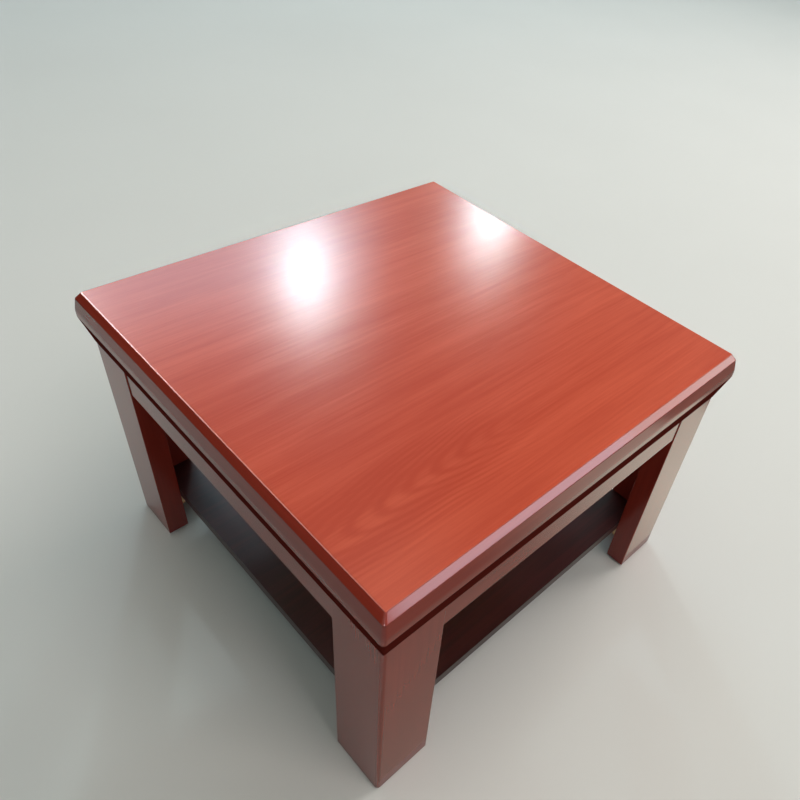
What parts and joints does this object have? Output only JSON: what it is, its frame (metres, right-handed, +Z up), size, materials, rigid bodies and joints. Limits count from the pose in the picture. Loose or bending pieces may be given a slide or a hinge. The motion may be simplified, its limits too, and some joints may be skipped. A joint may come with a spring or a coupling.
{
  "type": "tea table",
  "caption": "Square low tea table in glossy red lacquer: grained veneer top with a mitred profiled edge moulding, legs of mitred boards, thin aprons and an open shelf.",
  "frame": {"origin": "centre of the table's footprint, on the floor", "axes": "+Z up. -Y is the front and +X the right-hand side. The veneer's grain runs along X."},
  "size_m": [0.7, 0.7, 0.465],
  "materials": {
    "red_lacquer": "high gloss dark red lacquer",
    "top_veneer": "orange-red stained veneer under glossy lacquer",
    "dark_lacquer": "glossy dark burgundy lacquer",
    "dark_band": "satin edge band",
    "plain_veneer": "raw balancing veneer",
    "fibreboard": "raw fibreboard",
    "softwood": "raw planed softwood",
    "beech": "raw beech",
    "zinc": "zinc plated",
    "black_plastic": "moulded, satin"
  },
  "bodies": {
    "root": {"top_veneer": "top_veneer", "top_panel": "fibreboard", "balancing_veneer": "plain_veneer", "batten_front": "softwood", "batten_rear": "softwood", "batten_screws": "zinc", "edge_front": "red_lacquer", "edge_right": "red_lacquer", "edge_rear": "red_lacquer", "edge_left": "red_lacquer", "mitre_biscuits": "beech", "gusset_front_left": "fibreboard", "gusset_front_right": "fibreboard", "gusset_rear_left": "fibreboard", "gusset_rear_right": "fibreboard", "leg_front_left_face": "red_lacquer", "leg_front_left_side": "red_lacquer", "leg_front_right_face": "red_lacquer", "leg_front_right_side": "red_lacquer", "leg_rear_left_face": "red_lacquer", "leg_rear_left_side": "red_lacquer", "leg_rear_right_face": "red_lacquer", "leg_rear_right_side": "red_lacquer", "leg_splines": "beech", "apron_front": "red_lacquer", "apron_right": "red_lacquer", "apron_rear": "red_lacquer", "apron_left": "red_lacquer", "apron_dowels": "beech", "block_front_left": "softwood", "block_front_right": "softwood", "block_rear_left": "softwood", "block_rear_right": "softwood", "block_screws": "zinc", "top_screws": "zinc", "shelf": "dark_lacquer", "shelf_band_front": "dark_band", "shelf_band_right": "dark_band", "shelf_band_rear": "dark_band", "shelf_band_left": "dark_band", "shelf_block_front_left": "softwood", "shelf_block_front_right": "softwood", "shelf_block_rear_left": "softwood", "shelf_block_rear_right": "softwood", "shelf_block_screws": "zinc", "shelf_screws": "zinc", "glides": "black_plastic", "glide_nails": "zinc"}
  },
  "joints": []
}
